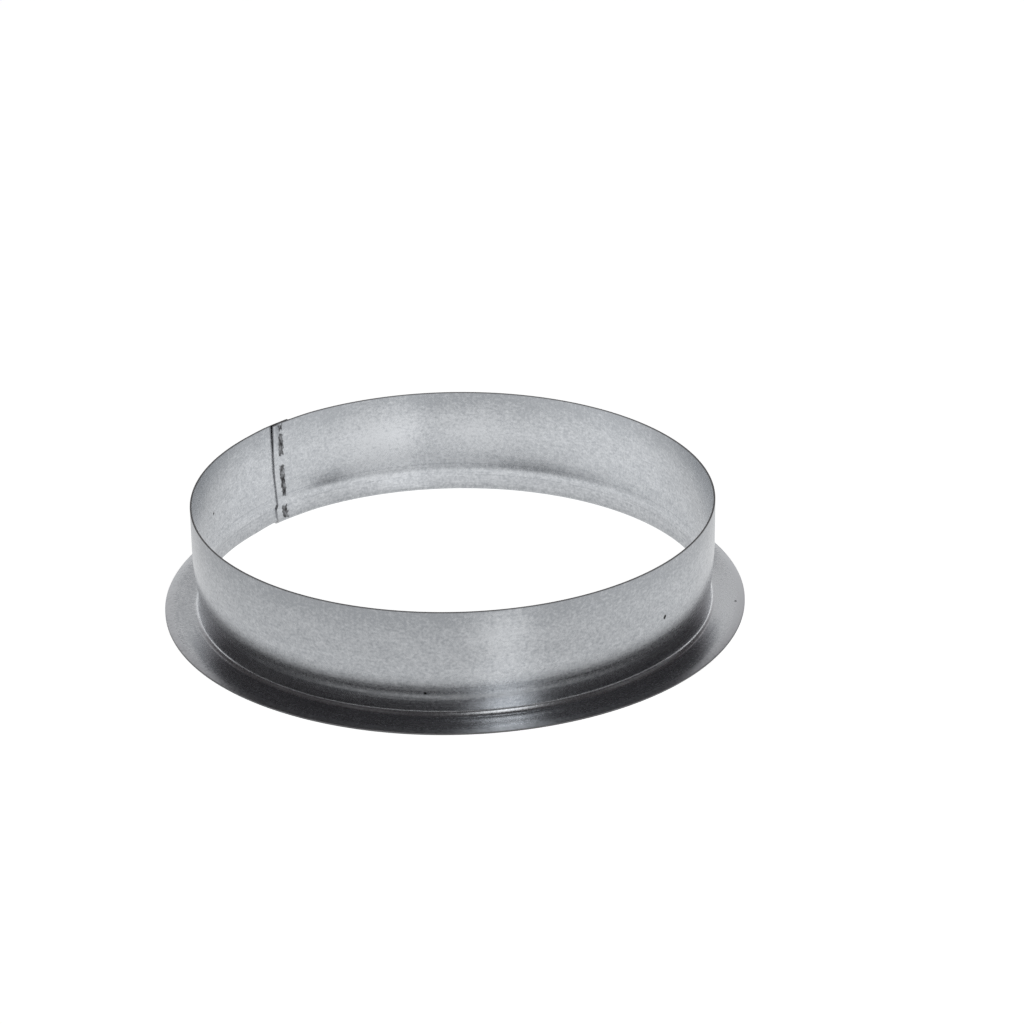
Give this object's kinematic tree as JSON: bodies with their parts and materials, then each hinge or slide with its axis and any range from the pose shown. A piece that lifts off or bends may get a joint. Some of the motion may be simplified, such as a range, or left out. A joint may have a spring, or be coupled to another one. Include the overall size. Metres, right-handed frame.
{
  "type": "duct coupling",
  "caption": "Flanged duct collar of galvanised sheet: a rolled, lap-welded ring whose necked foot turns out into a flat flange, to join round duct to a panel.",
  "frame": {"origin": "centre of the flange's underside", "axes": "+Z along the collar's axis, out of the open end of the spigot; the lap seam lies 134.6 degrees from +X towards +Y"},
  "size_m": [0.2796, 0.2796, 0.0538],
  "materials": {
    "galvanised_steel": "hot-dip galvanised sheet, satin grey with a fine grain, burnt marks along the seam weld"
  },
  "bodies": {
    "root": {"flanged_collar": "galvanised_steel"}
  },
  "joints": []
}
